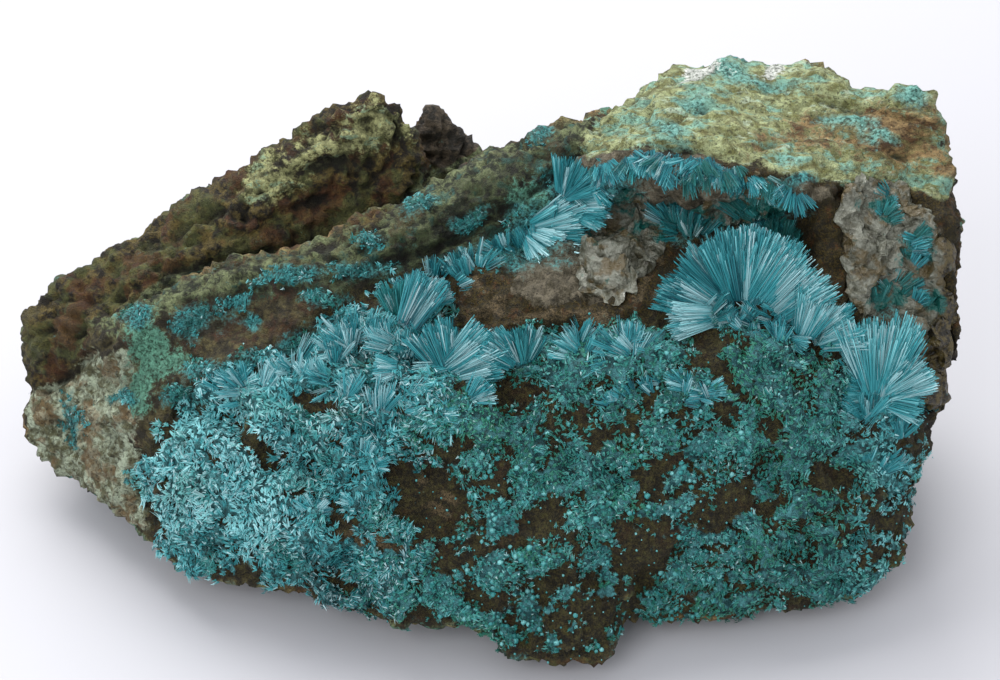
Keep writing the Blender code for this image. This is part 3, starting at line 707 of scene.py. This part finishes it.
def build_rock():
    """The rock with its fine relief, closed over the crust's and crystals' seats."""
    rock = from_nodes("rock", ["matrix", "tyrolite_crust", "tyrolite_lip_crust"])
    remesh(rock, COARSE_VOXEL)
    swell_out(rock, CLOSING)
    remesh(rock, COARSE_VOXEL)
    swell_out(rock, -CLOSING)
    remesh(rock, FINE_VOXEL)
    reshape(rock, "SMOOTH", factor=0.6, iterations=9)
    points, normals = points_of(rock.data), normals_of(rock.data)
    front = ramp(facing_of(points, normals), -0.15, 0.15)
    shares = regions(points, front)
    waves, relief = relief_of(points, normals, front, shares)
    above_foot = ramp(points[:, 2], 0.15, 1.2)
    moved = points + normals * (relief * above_foot)[:, None]
    moved[:, 2] = np.maximum(moved[:, 2], 0)
    set_points(rock.data, moved)
    # painted shade: the rock is painted darker where its relief lies deep, in hollows and creases
    mark(rock.data, "depth", ramp(-waves, 0.05, 0.8))
    for name, share in shares.items():
        mark(rock.data, name, share)
    reshape(rock, "DECIMATE", ratio=ROCK_FACES / (2 * len(rock.data.polygons)))
    dress(rock, rock_look(), True)
    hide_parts("matrix")
    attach(rock, "root")
    return rock


def build_quartz(node):
    """A glassy mass with broken facets on the node's blocks, let into the rock round it."""
    mass = from_nodes(f"{node}_mass", [node])
    remesh(mass, QUARTZ_VOXEL)
    swell_out(mass, LET_IN)
    remesh(mass, FINE_QUARTZ_VOXEL)
    reshape(mass, "SMOOTH", factor=0.5, iterations=3)
    points, normals = points_of(mass.data), normals_of(mass.data)
    relief = 0.5 * facets(points, 1.6, 161) + 0.3 * facets(points, 0.8, 167)
    relief += 0.08 * rough(points, 0.5, 175)
    drift = np.stack([rough(points, 1.6, 181 + 7 * k) for k in range(3)], axis=1)
    drift -= (drift @ FORWARD)[:, None] * FORWARD
    set_points(mass.data, points + normals * relief[:, None] + 0.55 * drift)
    reshape(mass, "DECIMATE", ratio=QUARTZ_FACES / (2 * len(mass.data.polygons)))
    places = to_pixels(points_of(mass.data))
    mark(mass.data, "stain", near_spots(places, SPOTS["stain"]))
    soft, _, corners = OUTLINES["edge"]
    mark(mass.data, "edge", within(places, corners, soft))
    dress(mass, QUARTZ_LOOK, False)
    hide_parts(node)
    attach(mass, "root")
    return mass


# ---- crystals ------------------------------------------------------------------------
# Closed solids with their corners in the order that laths() gives: a blade and a pointed one.
BLADE = np.array(
    [(0, 1, 2), (3, 5, 4), (1, 0, 3), (1, 3, 4), (2, 1, 4), (2, 4, 5), (0, 2, 5), (0, 5, 3)]
)
NEEDLE = np.array([(0, 1, 2), (1, 0, 3), (2, 1, 3), (0, 2, 3)])


def unit(vectors):
    return vectors / np.maximum(np.linalg.norm(vectors, axis=-1, keepdims=True), TINY)


def across_of(ways, turns):
    """Directions square to the ways, turned about them."""
    helper = np.where(np.abs(ways[:, :1]) < 0.8, RIGHT, UP)
    across = unit(np.cross(ways, helper))
    over = np.cross(across, ways)
    return across * np.cos(turns)[:, None] + over * np.sin(turns)[:, None]


THICKNESS = 0.36  # of a lath, as a share of its width


def laths(roots, ways, sides, lengths, widths, tones, painted_glints, greens, pointed, painted_root_shade=0.7):
    """A batch of flat closed crystals: their corners, their faces and their stored values.

    painted_root_shade is the share of its tone that a crystal keeps at its root: painted shade, darker
    at the root than at the tip."""
    rise = np.cross(sides, ways)
    half = sides * widths[:, None] / 2
    thick = rise * widths[:, None] * THICKNESS
    ends = roots + ways * lengths[:, None]
    corners = [roots - half, roots + half, roots + thick]
    if pointed:
        corners += [ends]
        pattern, shade = NEEDLE, [painted_root_shade] * 3 + [1]
    else:
        tips = chance.uniform(0.35, 0.9, len(roots))[:, None]
        skew = chance.uniform(-0.7, 0.7, len(roots))[:, None] * ways * widths[:, None]
        corners += [ends - half * tips - skew, ends + half * tips + skew, ends + thick * tips]
        pattern, shade = BLADE, [painted_root_shade] * 3 + [1] * 3
    shade = np.array(shade)
    values = {"tone": tones[:, None] * shade, "painted_glint": painted_glints[:, None] * shade}
    values["green"] = greens[:, None] * np.ones(len(shade))
    return np.stack(corners, axis=1), pattern, values


def crystal_piece(name, batches, look, replaced=()):
    """One mesh from batches of crystals."""
    faces, count = [], 0
    for corners, pattern, _ in batches:
        starts = count + np.arange(len(corners)) * corners.shape[1]
        faces.append((starts[:, None, None] + pattern).reshape(-1, 3))
        count += corners.shape[0] * corners.shape[1]
    points = np.concatenate([corners.reshape(-1, 3) for corners, _, _ in batches])
    points[:, 2] = np.maximum(points[:, 2], 0)
    piece = new_piece(name, points, np.concatenate(faces))
    for value in ("tone", "painted_glint", "green"):
        stored = np.concatenate([values[value].ravel() for _, _, values in batches])
        mark(piece.data, value, np.clip(stored, 0, 1))
    piece.data.materials.append(look)
    if replaced:
        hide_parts(*replaced)
    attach(piece, "root")


def spread(surface, density, spacing, tries):
    """Places and normals scattered on a surface at least spacing apart, by its density."""
    points, normals, faces = surface
    a, b, c = (points[faces[:, k]] for k in range(3))
    weight = np.linalg.norm(np.cross(b - a, c - a), axis=1) * density[faces].mean(axis=1)
    picks = chance.choice(len(faces), tries, p=weight / weight.sum())
    u, v = np.sort(chance.random((2, tries)), axis=0)
    shares = np.stack([u, v - u, 1 - v], axis=1)[:, :, None]
    places = (points[faces[picks]] * shares).sum(axis=1)
    ups = unit((normals[faces[picks]] * shares).sum(axis=1))
    kept, grid = [], {}
    near = list(np.ndindex(3, 3, 3))
    for index, (x, y, z) in enumerate(np.floor(places / spacing).astype(int).tolist()):
        others = [o for i, j, k in near for o in grid.get((x + i - 1, y + j - 1, z + k - 1), ())]
        gaps = places[others] - places[index]
        if not others or (gaps * gaps).sum(axis=1).min() > spacing * spacing:
            grid.setdefault((x, y, z), []).append(index)
            kept.append(index)
    return places[kept], ups[kept]


def scattered_shades(places, count, tone, variety, painted_glint, green):
    """Tones, painted glints and green of count crystals at each place, alike at each and patchy over
    all.
    """
    n, total = len(places), len(places) * count
    tones = np.repeat(tone + chance.normal(0, 0.1, n), count) + chance.normal(0, variety, total)
    shine = painted_glint * (1 + 1.5 * rough(places, 2.0, 221))
    # painted glints: some crystals whitened at random, more of them in patches
    shines = (chance.random(total) < np.repeat(shine, count)) * chance.uniform(0.3, 0.9, total)
    greens = np.repeat(green + 0.35 * ramp(rough(places, 1.8, 231), 0.0, 0.9), count)
    return tones, shines, greens


def rooted(places, ups, count, jitter):
    """The roots of count crystals at each place, and the way up from the surface at each."""
    roots = np.repeat(places, count, axis=0)
    return roots + chance.normal(0, jitter, roots.shape), np.repeat(ups, count, axis=0)


def leaning(axes, around, lean):
    return axes * np.cos(lean)[:, None] + around * np.sin(lean)[:, None]


def sized(places, count, reach, least, width, thinnest):
    """The lengths and widths of count crystals at each place, alike in length at each."""
    lengths = np.repeat(reach * chance.uniform(least, 1.3, len(places)), count)
    lengths *= chance.uniform(0.6, 1.1, len(lengths))
    return lengths, width * chance.uniform(thinnest, 1.4, len(lengths))


def tufts(places, ups, radius, count, flat, width, tone, painted_glint, green):
    """Pointed crystals radiating at each place: flat is 0 for a ball and 1 for a rosette."""
    roots, axes = rooted(places, ups, count, 0.03)
    around = across_of(axes, chance.uniform(0, math.tau, len(axes)))
    ways = leaning(axes, around, np.arccos(chance.uniform(0.02, 1 - 0.6 * flat, len(axes))))
    sides = across_of(ways, chance.uniform(0, math.tau, len(axes)))
    sizes = sized(places, count, radius, 0.65, width, 0.7)
    tone = tone + 0.24 * rough(places, 1.5, 211) + 0.2 * rough(places, 0.6, 215)
    # painted light and shade: crystals lighter on the lumps' tops and darker between them
    shades = scattered_shades(places, count, tone + 0.4 * lumps(places), 0.1, painted_glint, green)
    return laths(roots, ways, sides, *sizes, *shades, True)


def flakes(places, ups, reach, count, width, tone, painted_glint, green):
    """Leafy crystals lying on the surface, brushed the same way as their neighbours."""
    roots, axes = rooted(places, ups, count, 0.07)
    brushed = 5 * swell(places, 1.6, 241) + 4 * swell(places, 3.5, 245)
    turns = np.repeat(brushed + chance.normal(0, 0.6, len(places)), count)
    around = across_of(axes, turns + chance.normal(0, 0.4, len(axes)))
    ways = leaning(axes, around, np.radians(chance.uniform(54, 86, len(axes))))
    sides = across_of(ways, chance.uniform(0, math.tau, len(axes)))
    flat = unit(np.cross(ways, axes))
    sides = unit(flat + 0.5 * chance.random((len(axes), 1)) * sides)
    sizes = sized(places, count, reach, 0.6, width, 0.5)
    tone = tone + 0.24 * rough(places, 2.4, 211) + 0.2 * rough(places, 0.7, 215)
    # painted light and shade: flakes lighter on the lumps' tops and darker between them
    shades = scattered_shades(places, count, tone + 0.7 * lumps(places), 0.14, painted_glint, green)
    return laths(roots + 0.08 * axes, ways, sides, *sizes, *shades, True, 0.6)


def balls(places, radius, tone, green):
    """Small knobbly spherules."""
    shape = bmesh.new()
    bmesh.ops.create_icosphere(shape, subdivisions=1, radius=1)
    bmesh.ops.triangulate(shape, faces=shape.faces)
    knob = np.array([v.co for v in shape.verts])
    pattern = np.array([[v.index for v in face.verts] for face in shape.faces])
    shape.free()
    n = len(places)
    size = radius * chance.uniform(0.6, 1.25, (n, 1, 1)) * chance.uniform(0.82, 1.12, (n, len(knob), 1))
    corners = places[:, None] + size * knob
    # painted light: each spherule lighter on its top
    tones = np.clip(tone + chance.normal(0, 0.12, (n, 1)) + 0.12 * knob[:, 2], 0, 1)
    level = np.ones((n, len(knob)))
    return corners, pattern, {"tone": tones * level, "painted_glint": 0 * level, "green": green * level}


IN_BUNDLE, FEWEST_BUNDLES = 12, 9  # blades in a bundle, and bundles in a spray
BLADE_WIDTHS, NEEDLE_WIDTHS = (0.05, 0.12), (0.03, 0.08)
FAN_CLEARANCE, ROW_CLEARANCE = 0.15, 0.1  # how far the roots stand off the rock
ROW_BLADES, ROW_FOOT, ROW_STRAY = 34, 0.4, 5  # ROW_STRAY is in pixels


def bundles_of(root, reach, first, last, blades, lift, tone, painted_glint):
    """Each bundle's angle, bend, lean, share of the reach, place, shade and painted glint."""
    count = max(blades // IN_BUNDLE, FEWEST_BUNDLES)
    angle = chance.uniform(first, last, count)
    layer = chance.random(count) ** 1.6
    lean = lift + 18 * layer * chance.uniform(0.4, 1, count)
    span = 1 - 0.35 * layer * chance.random(count)
    turns = np.radians(angle)
    span *= 1 + 0.07 * np.sin(turns * 9 + root[0]) + 0.06 * np.sin(turns * 21 + root[2])
    strays = chance.normal(0, 0.035 * reach, (count, 3)) + chance.normal(0, 0.05, (count, 3))
    bend = chance.normal(0, 3.5, count)
    shade = np.clip(tone + chance.normal(0, 0.1, count), 0, 1)
    gleam = chance.random(count) < painted_glint * (0.4 + 1.2 * layer)
    return angle, bend, lean, span, root + strays, shade, gleam


def spray(root, reach, first, last, blades, lift, tone, painted_glint, foot=0.18):
    """A fan of fine blades in bundles, in the plane of the view and leaning out by lift.

    foot is how wide its root is, as a share of its reach."""
    bundles = bundles_of(root, reach, first, last, blades, lift, tone, painted_glint)
    middle = (first + last) / 2
    line = math.cos(math.radians(middle)) * RIGHT - math.sin(math.radians(middle)) * UP
    batches = []
    for pointed, count, sizes in ((False, blades, BLADE_WIDTHS), (True, 2 * blades, NEEDLE_WIDTHS)):
        picks = chance.integers(0, len(bundles[0]), count)
        angle, bend, lean, span, starts, shade, gleam = (values[picks] for values in bundles)
        angle = angle + bend + chance.normal(0, 2.4, count)
        rise = lean * np.cos(np.radians(angle - middle) * 0.8)
        a, e = np.radians(angle), np.radians(rise + chance.normal(0, 3, count))
        flat = np.cos(a)[:, None] * UP + np.sin(a)[:, None] * RIGHT
        ways = np.cos(e)[:, None] * flat - np.sin(e)[:, None] * FORWARD
        sides = unit(np.cross(ways, -FORWARD))
        tilt = chance.normal(0, 0.36, count)[:, None]
        sides = sides * np.cos(tilt) + np.cross(ways, sides) * np.sin(tilt)
        shift = np.clip((angle - middle) / max(last - first, 1), -0.6, 0.6) * reach * 2 * foot
        roots = starts + line * shift[:, None] + chance.normal(0, 0.05, (count, 3))
        lengths = reach * span * (1.04 - 0.3 * chance.random(count) ** 2)
        tones = np.clip(shade + chance.normal(0, 0.15, count), 0, 1)
        shines = gleam * chance.uniform(0.2, 0.75, count)
        widths = chance.uniform(*sizes, count) * min(1.1, 0.6 + reach / 8)
        greens = np.full(count, 0.06 + 0.3 * ramp(-tone, -0.32, -0.2))
        values = (lengths, widths, tones, shines, greens)
        batches.append(laths(roots, ways, sides, *values, pointed, 0.5))
    return batches


# Sprays: across and down of the root and the reach in pixels, first and last angle clockwise
# from straight up, blades, lift off the face in degrees, tone, share of bundles with a painted
# glint and, where it isn't the usual one, the foot.
SPRAYS = {
    "fan_large": [
        (737, 298, 62, -32, 12, 1300, 8, 0.48, 0.08, 0.2),
        (742, 298, 66, 8, 44, 900, 8, 0.56, 0.14, 0.2),
        (714, 306, 54, -74, -46, 700, 12, 0.4, 0.12, 0.2),
        (712, 306, 44, -96, -62, 500, 14, 0.5, 0.3, 0.2),
        (710, 316, 46, -106, -84, 350, 22, 0.7, 0.8, 0.15),
        (768, 302, 54, 26, 58, 1300, 14, 0.58, 0.4, 0.42),
        (804, 334, 42, 4, 38, 500, 16, 0.62, 0.35, 0.2),
        (816, 334, 34, 36, 60, 300, 24, 0.72, 0.8, 0.2),
    ],
    "fan_step": [(822, 340, 40, 44, 86, 450, 18, 0.58, 0.35)],
    "fan_right": [
        (878, 392, 70, -22, 30, 1000, 10, 0.62, 0.2, 0.16),
        (874, 392, 46, -62, -20, 400, 12, 0.5, 0.12, 0.2),
        (874, 394, 32, -110, -58, 300, 14, 0.5, 0.12, 0.2),
        (882, 392, 48, 28, 72, 450, 14, 0.62, 0.3, 0.2),
        (888, 400, 34, 60, 120, 250, 20, 0.48, 0.15, 0.2),
        (864, 418, 26, -100, 60, 250, 30, 0.55, 0.2, 0.3),
        (900, 436, 24, -80, 60, 200, 30, 0.5, 0.15, 0.3),
    ],
    "fan_left": [
        (446, 366, 42, -40, 10, 600, 8, 0.36, 0.2, 0.2),
        (448, 366, 54, 38, 64, 450, 14, 0.58, 0.6, 0.15),
        (428, 344, 34, -112, -84, 350, 16, 0.58, 0.6, 0.3),
        (445, 370, 28, -124, -92, 300, 18, 0.62, 0.8, 0.2),
        (408, 324, 52, 20, 42, 350, 10, 0.4, 0.3, 0.12),
        (398, 314, 30, -30, 8, 200, 8, 0.24, 0.15, 0.2),
        (424, 300, 30, 44, 70, 250, 12, 0.46, 0.4, 0.25),
        (460, 374, 40, 56, 84, 300, 16, 0.42, 0.3, 0.2),
        (396, 368, 22, -120, -60, 200, 14, 0.6, 0.7, 0.3),
        (336, 362, 24, -40, 40, 200, 10, 0.42, 0.25, 0.2),
        (472, 398, 22, 30, 90, 180, 14, 0.45, 0.4, 0.2),
    ],
    "fan_middle": [
        (522, 361, 34, -42, 28, 450, 22, 0.28, 0.1, 0.2),
        (516, 361, 38, -66, -36, 300, 24, 0.45, 0.25, 0.2),
    ],
    "fan_hollow": [
        (536, 229, 52, 52, 104, 600, 22, 0.58, 0.4),
        (528, 236, 38, 96, 160, 400, 28, 0.7, 0.7),
        (566, 196, 38, -10, 84, 450, 24, 0.45, 0.2),
        (590, 180, 28, 30, 150, 250, 30, 0.45, 0.25),
        (575, 212, 38, 70, 130, 250, 30, 0.42, 0.25),
    ],
}

# Rows of small sprays: the path of their roots, how many, reach, angles, tone and painted glint.
ROWS = {
    "lip_sprays": [
        ("592,172 640,160 700,168 760,182 800,194", 40, 17, 140, 215, 0.3, 0.05),
        ("600,166 650,158 705,165 765,180", 34, 15, 120, 240, 0.5, 0.15),
        ("592,168 572,200 556,228", 16, 20, 60, 170, 0.42, 0.2),
        ("655,214 672,222 700,228", 10, 20, -70, 80, 0.35, 0.12),
        ("735,202 760,214 785,224", 12, 24, -60, 60, 0.14, 0.03),
        ("745,236 768,228 790,242", 14, 22, -60, 60, 0.2, 0.03),
        ("670,236 685,226 700,238", 10, 18, -90, 60, 0.22, 0.05),
        ("880,200 890,212", 6, 12, -90, 90, 0.25, 0.05),
        ("908,262 918,244 934,236", 10, 14, -90, 90, 0.25, 0.05),
        ("876,306 900,290 935,302", 8, 14, -90, 90, 0.25, 0.05),
    ],
    "small_sprays": [
        ("556,348 585,342 620,346 650,352", 14, 22, -80, 80, 0.46, 0.3),
        ("400,298 440,280 480,262 545,236", 20, 17, -80, 60, 0.4, 0.2),
        ("330,345 365,335 400,345 420,372", 14, 24, -80, 60, 0.48, 0.3),
        ("300,372 340,392 390,402 470,402", 16, 22, -90, 90, 0.52, 0.35),
        ("215,392 250,380 290,365", 10, 20, -90, 60, 0.52, 0.35),
        ("600,395 640,385 700,395 760,400", 14, 14, -90, 90, 0.5, 0.15),
        ("350,470 380,460 340,500 300,510", 10, 11, -90, 90, 0.6, 0.4),
        ("700,318 740,308 790,322 830,340", 18, 18, -70, 70, 0.45, 0.2),
        ("720,318 760,318 800,345", 14, 16, -180, 180, 0.4, 0.15),
        ("840,445 880,470 905,460", 8, 13, -90, 90, 0.5, 0.1),
        ("860,405 880,402 900,408", 10, 16, -120, 120, 0.45, 0.15),
    ],
}


def crust_left(surface, shares):
    """Silky flakes, and smaller ones on the copper stains above the crust."""
    spots, ups = spread(surface, shares["coat"] * shares["left"], spacing=0.29, tries=34000)
    across, down = to_pixels(spots).T
    # painted light: the crust's tone lighter towards the left, where it is lit most; darker towards the
    # bottom
    pale = 0.52 + 0.4 * ramp(-across, -370, -240) - 0.3 * ramp(down, 500, 590)
    bits, bit_ups = spread(surface, shares["flecks"] * shares["left"], spacing=0.26, tries=8000)
    big, big_ups = spots[::9], ups[::9]
    batches = [
        flakes(bits, bit_ups, reach=0.26, count=8, width=0.1, tone=0.34, painted_glint=0.06, green=0.15),
        flakes(spots, ups, reach=0.4, count=8, width=0.14, tone=pale, painted_glint=0.2, green=0),
        flakes(big, big_ups, reach=0.7, count=8, width=0.12, tone=pale[::9], painted_glint=0.3, green=0),
    ]
    crystal_piece("crust_left", batches, CRUST_LOOK, ["tyrolite_crust"])


def crust_centre(surface, shares, rest):
    """Open clusters of rosettes and spherules, and crumbs on the bare rock between them."""
    spots, ups = spread(surface, shares["coat"] * shares["low"], spacing=0.29, tries=12000)
    sparse = shares["crust"] * (0.5 * shares["low"] + 0.3 * rest)
    crumbs, _ = spread(surface, sparse, spacing=0.55, tries=1500)
    knobs = chance.random(len(spots)) < 0.2
    pale = 0.6 - 0.24 * ramp(to_pixels(spots)[:, 1], 560, 630)
    batches = [
        balls(spots[knobs], radius=0.18, tone=0.55, green=0.25),
        tufts(
            spots, ups, radius=0.24, count=11, flat=0.1, width=0.1, tone=pale, painted_glint=0.08, green=0.35
        ),
        balls(crumbs, radius=0.08, tone=0.55, green=0.2),
    ]
    crystal_piece("crust_centre", batches, CRUST_LOOK)


def crust_right(surface, shares, rest):
    """Low flakes and rosettes with a few spherules."""
    spots, ups = spread(surface, shares["coat"] * rest, spacing=0.31, tries=34000)
    edge = ramp(to_pixels(spots)[:, 0], 820, 880)
    pale, green = 0.42 + 0.4 * edge, 0.5 - 0.4 * edge
    some, some_ups, tone = spots[::2], ups[::2], pale[::2] + 0.04
    batches = [
        flakes(spots, ups, reach=0.3, count=5, width=0.13, tone=pale, painted_glint=0.03, green=green),
        tufts(
            some, some_ups, radius=0.21, count=8, flat=0.4, width=0.1, tone=tone, painted_glint=0.03,
            green=green[::2],
        ),
        balls(spots[::9], radius=0.13, tone=0.55, green=0.3),
        flakes(
            spots[::23], ups[::23], reach=0.55, count=8, width=0.12, tone=0.55, painted_glint=0.08, green=0.2
        ),
    ]
    crystal_piece("crust_right", batches, CRUST_LOOK)


def tree_of(things):
    """A search tree of these things' surfaces."""
    corners, sides = [], []
    for thing in things:
        sides += (triangles_of(thing.data) + len(corners)).tolist()
        corners += [Vector(corner) for corner in points_of(thing.data)]
    return BVHTree.FromPolygons(corners, sides)


def on_rock(tree, across, down):
    """The rock's point at a pixel."""
    way = FORWARD + RIGHT * (across - WIDTH / 2) / FOCAL - UP * (down - HEIGHT / 2) / FOCAL
    return np.array(tree.ray_cast(Vector(EYE), Vector(way))[0])


def row_of_sprays(tree, path, count, reach, first, last, tone, painted_glint):
    """Small sprays along a path of pixels, each pointing its own way between two angles."""
    batches, ends = [], rows_of(path)
    for place in chance.uniform(0, len(ends) - 1, count):
        start = int(place)
        a, b = ends[start : start + 2]
        across, down = a + (b - a) * (place - start) + chance.normal(0, ROW_STRAY, 2)
        root = on_rock(tree, across, down) - FORWARD * ROW_CLEARANCE
        middle, half = chance.uniform(first, last), chance.uniform(14, 38)
        span = reach * chance.uniform(0.6, 1.25) * PIXEL
        lift, shade = chance.uniform(2, 22), tone + chance.normal(0, 0.1)
        looks = (ROW_BLADES, lift, shade, painted_glint, ROW_FOOT)
        batches += spray(root, span, middle - half, middle + half, *looks)
    return batches


QUARTZ_LOOK = quartz_look()
FAN_LOOK = crystal_look("tyrolite_blades", (8, 66, 80), (54, 146, 156), (138, 208, 214), 0.3)
CRUST_LOOK = crystal_look("tyrolite_crust", (8, 60, 64), (56, 142, 148), (142, 210, 214), 0.4)

rock = build_rock()
masses = [build_quartz(node) for node in ("quartz_hollow", "quartz_wall")]
surface = points_of(rock.data), normals_of(rock.data), triangles_of(rock.data)
shares = regions(surface[0], ramp(facing_of(*surface[:2]), -0.3, 0.0))
rest = np.clip(1 - shares["left"] - shares["low"], 0, 1)
crust_left(surface, shares)
crust_centre(surface, shares, rest)
crust_right(surface, shares, rest)

tree = tree_of([rock, *masses])
for name, sheaves in SPRAYS.items():
    batches = []
    for across, down, reach, *rest_of_it in sheaves:
        root = on_rock(tree, across, down) - FORWARD * FAN_CLEARANCE
        batches += spray(root, reach * PIXEL, *rest_of_it)
    crystal_piece(f"{name}_blades", batches, FAN_LOOK, [name])
for name, rows in ROWS.items():
    batches = []
    for row in rows:
        batches += row_of_sprays(tree, *row)
    stands_for = ["tyrolite_lip_crust"] if name == "lip_sprays" else []
    crystal_piece(name, batches, FAN_LOOK, stands_for)

# ---- stage ---------------------------------------------------------------------------
FLOOR_REACH = 900.0
corners = np.array([(-1, -1, 0), (1, -1, 0), (1, 1, 0), (-1, 1, 0)]) * FLOOR_REACH
floor = new_piece("floor", corners, np.array([(0, 1, 2, 3)]))
paper = Look("floor_paper", {}, Roughness=0.6)
floor.data.materials.append(paper.colour(srgb(183, 183, 188)))

lens = bpy.data.cameras.new("reference_view")
lens.sensor_width = SENSOR
lens.lens = FOCAL * SENSOR / WIDTH
lens.clip_start, lens.clip_end = 0.01, 10  # metres
camera = bpy.data.objects.new("reference_view", lens)
camera.location = EYE * MM
camera.rotation_euler = (math.pi / 2 - TILT, 0, 0)
bpy.context.scene.collection.objects.link(camera)
bpy.context.scene.camera = camera

LIT_POINT = Vector((0, 0, 10))  # where the lights aim


def soft_light(name, place, size, power, tint):
    """A square soft light at place, in millimetres, that shines on the specimen."""
    data = bpy.data.lights.new(name, "AREA")
    data.shape = "SQUARE"
    data.size = size * MM
    data.energy = power
    data.color = tint
    light = bpy.data.objects.new(name, data)
    light.location = Vector(place) * MM
    aim = LIT_POINT - Vector(place)
    light.rotation_euler = aim.to_track_quat("-Z", "Y").to_euler()
    bpy.context.scene.collection.objects.link(light)


soft_light("sky_light", (-70, 200, 280), 260, 1.35, (1, 0.99, 0.98))
soft_light("front_fill", (-160, -260, 260), 220, 0.6, (0.98, 0.99, 1))

world = bpy.data.worlds.new("studio")
world.use_nodes = True
world.node_tree.nodes["Background"].inputs["Color"].default_value = (0.96, 0.97, 1, 1)
world.node_tree.nodes["Background"].inputs["Strength"].default_value = 1.0
bpy.context.scene.world = world
bpy.context.scene.view_settings.view_transform = "Standard"
